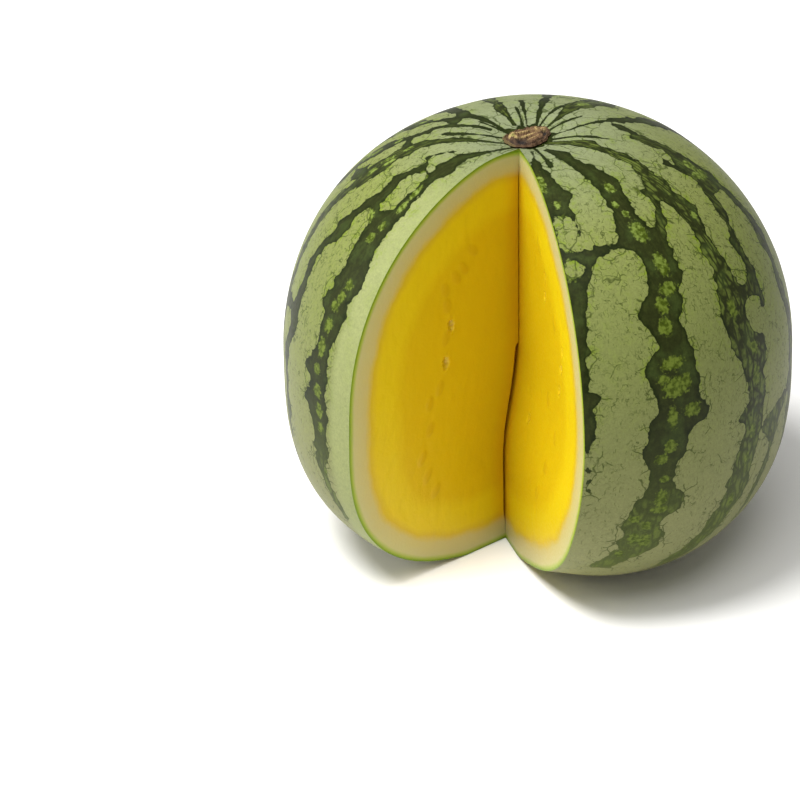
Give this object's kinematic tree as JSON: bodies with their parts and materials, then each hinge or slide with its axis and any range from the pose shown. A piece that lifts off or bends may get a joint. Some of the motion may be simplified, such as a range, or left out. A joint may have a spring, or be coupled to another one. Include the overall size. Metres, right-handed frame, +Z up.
{
  "type": "yellow watermelon",
  "caption": "Round striped watermelon with yellow flesh, standing stem up, with a wedge cut out of its front.",
  "frame": {"origin": "middle of the flat spot that the melon rests on, straight below its upright axis", "axes": "+Z up towards the stem scar, -Y towards the missing wedge at the front, +X to the right of a person facing the wedge"},
  "size_m": [0.22, 0.2181, 0.1916],
  "materials": {
    "rind": "waxy watermelon rind, pale grey-green with dark green feathered stripes",
    "flesh": "wet yellow watermelon flesh with a pale band under the skin",
    "stem_bark": "dry corky brown stem scar with frayed cream fibres"
  },
  "bodies": {
    "root": {"melon": "rind", "stem_scar": "stem_bark"}
  },
  "joints": []
}
